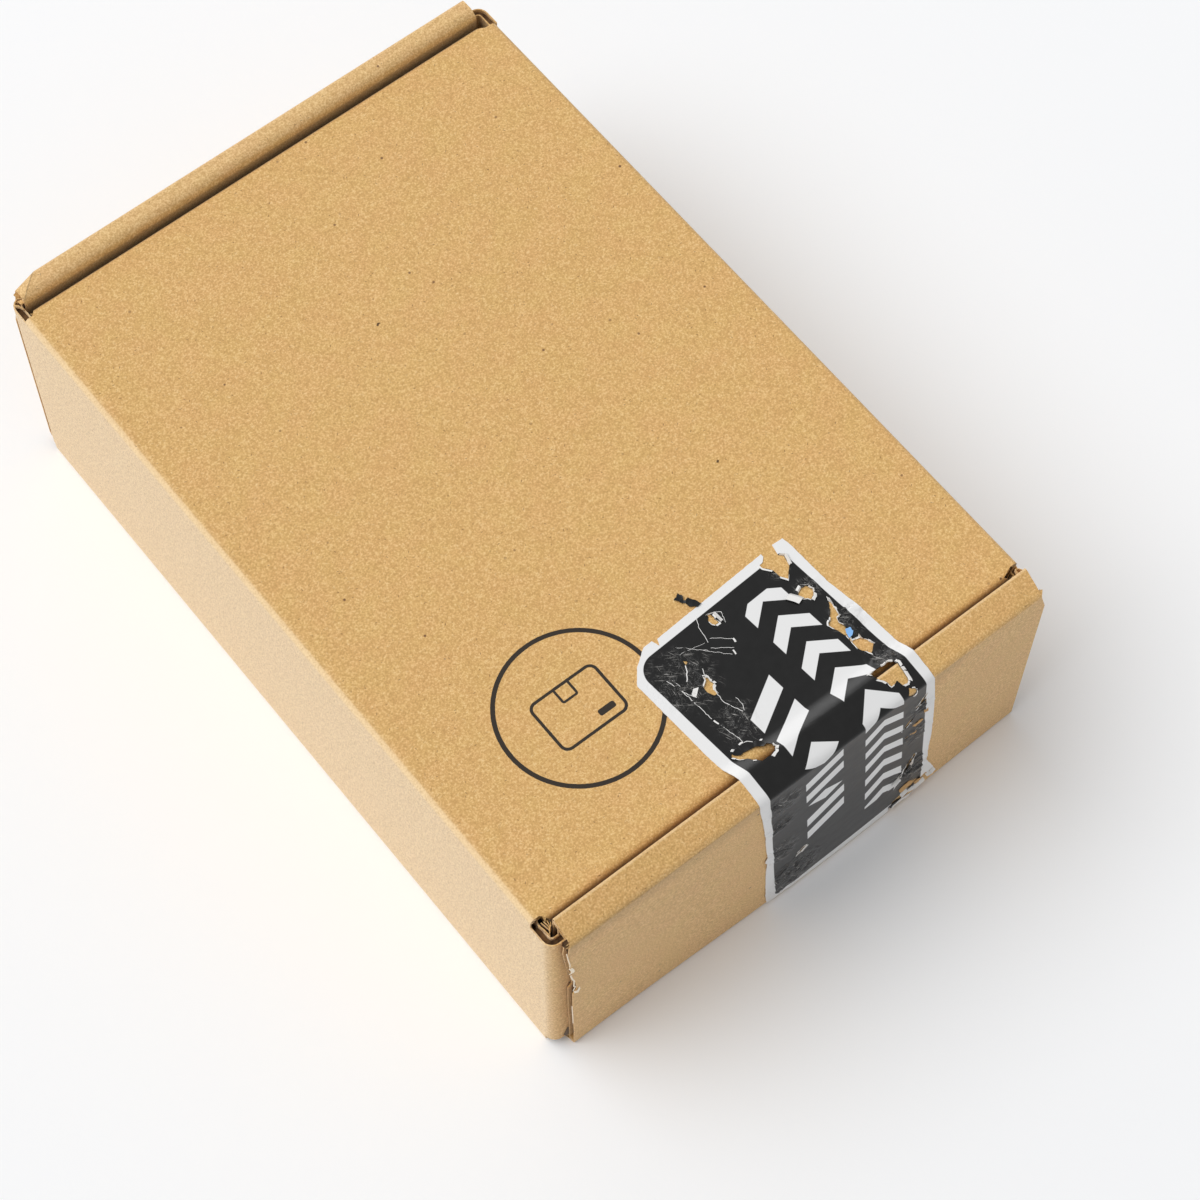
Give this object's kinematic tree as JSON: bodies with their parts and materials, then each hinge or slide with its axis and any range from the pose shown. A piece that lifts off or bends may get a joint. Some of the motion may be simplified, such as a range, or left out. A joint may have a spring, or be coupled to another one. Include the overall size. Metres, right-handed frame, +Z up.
{
  "type": "mailing parcel",
  "caption": "Small corrugated mailing box with rolled ends and a tuck-in lid, held shut by a torn film label wrapped over one end.",
  "frame": {"origin": "on the ground, under the middle of the box", "axes": "+Z up; the long side runs along Y and the labelled rolled end is at -Y; the lid hinges on the wall at -X"},
  "size_m": [0.1008, 0.1515, 0.0499],
  "materials": {
    "kraft_board": "matte unbleached kraft liner with fine fibres and specks",
    "label_film": "satin black printed film with a white border"
  },
  "bodies": {
    "root": {"mailer_box": "kraft_board", "seal_label": "label_film"}
  },
  "joints": []
}
